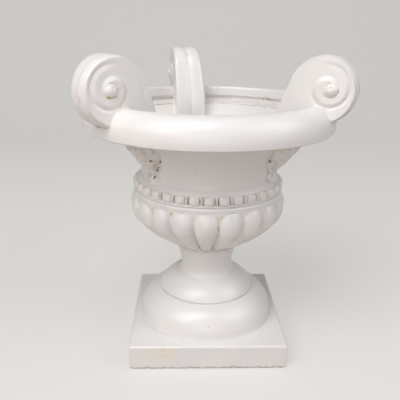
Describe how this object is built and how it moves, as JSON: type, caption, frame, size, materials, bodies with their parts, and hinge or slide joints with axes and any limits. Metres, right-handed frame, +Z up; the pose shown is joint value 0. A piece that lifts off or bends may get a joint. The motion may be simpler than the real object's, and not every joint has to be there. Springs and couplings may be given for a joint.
{
  "type": "ceramic garden urn",
  "caption": "White glazed ceramic garden urn of campana form: gadrooned bowl, bead and reel band, flared neck with leaf sprigs, rolled rim and scrolled volute handles on a square plinth.",
  "frame": {"origin": "middle of the plinth's underside, on the axis that all the turned pieces share", "axes": "+Z up along that axis, +X and +Y square to the plinth's sides, with -Y towards the side seen from the front"},
  "size_m": [0.3528, 0.3672, 0.4209],
  "materials": {
    "glaze": "gloss white tin glaze with fine pinholes",
    "warm_glaze": "gloss white glaze, a little warmer, grimy in the grooves",
    "shade_glaze": "gloss white glaze pooled in fine relief, with old grime"
  },
  "bodies": {
    "root": {"plinth": "warm_glaze", "foot_roll": "glaze", "foot_dome": "glaze", "stem": "glaze", "bowl": "glaze", "bead_band": "shade_glaze", "neck": "glaze", "rim": "glaze", "volute_left": "warm_glaze", "volute_right": "warm_glaze", "volute_back": "warm_glaze", "acanthus_left": "shade_glaze", "acanthus_right": "shade_glaze", "acanthus_back": "shade_glaze"}
  },
  "joints": []
}
